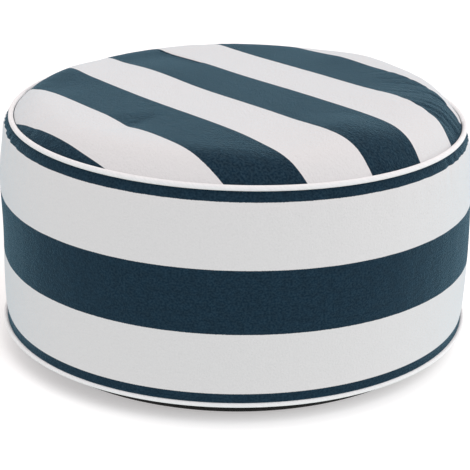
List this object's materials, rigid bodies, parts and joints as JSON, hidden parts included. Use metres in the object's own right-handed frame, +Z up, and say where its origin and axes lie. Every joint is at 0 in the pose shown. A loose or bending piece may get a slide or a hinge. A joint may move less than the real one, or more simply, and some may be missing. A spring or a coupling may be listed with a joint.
{
  "type": "inflatable pouf",
  "caption": "Round inflatable pouf in a fitted striped cloth cover with a crowned top, a drum side and piped seams.",
  "frame": {"origin": "centre of the underside, on the floor", "axes": "+Z up through the crown, +Y towards the back of the view, +X to its right"},
  "size_m": [0.5336, 0.5336, 0.2919],
  "materials": {
    "striped_cloth": "plain woven, matt, off-white with navy stripes",
    "piping_cloth": "plain woven, matt, off-white, cut on the bias over a cord",
    "base_cloth": "plain woven, matt, black"
  },
  "bodies": {
    "root": {"base_panel": "base_cloth", "bottom_piping": "piping_cloth", "side_band": "striped_cloth", "top_piping": "piping_cloth", "top_panel": "striped_cloth"}
  },
  "joints": []
}
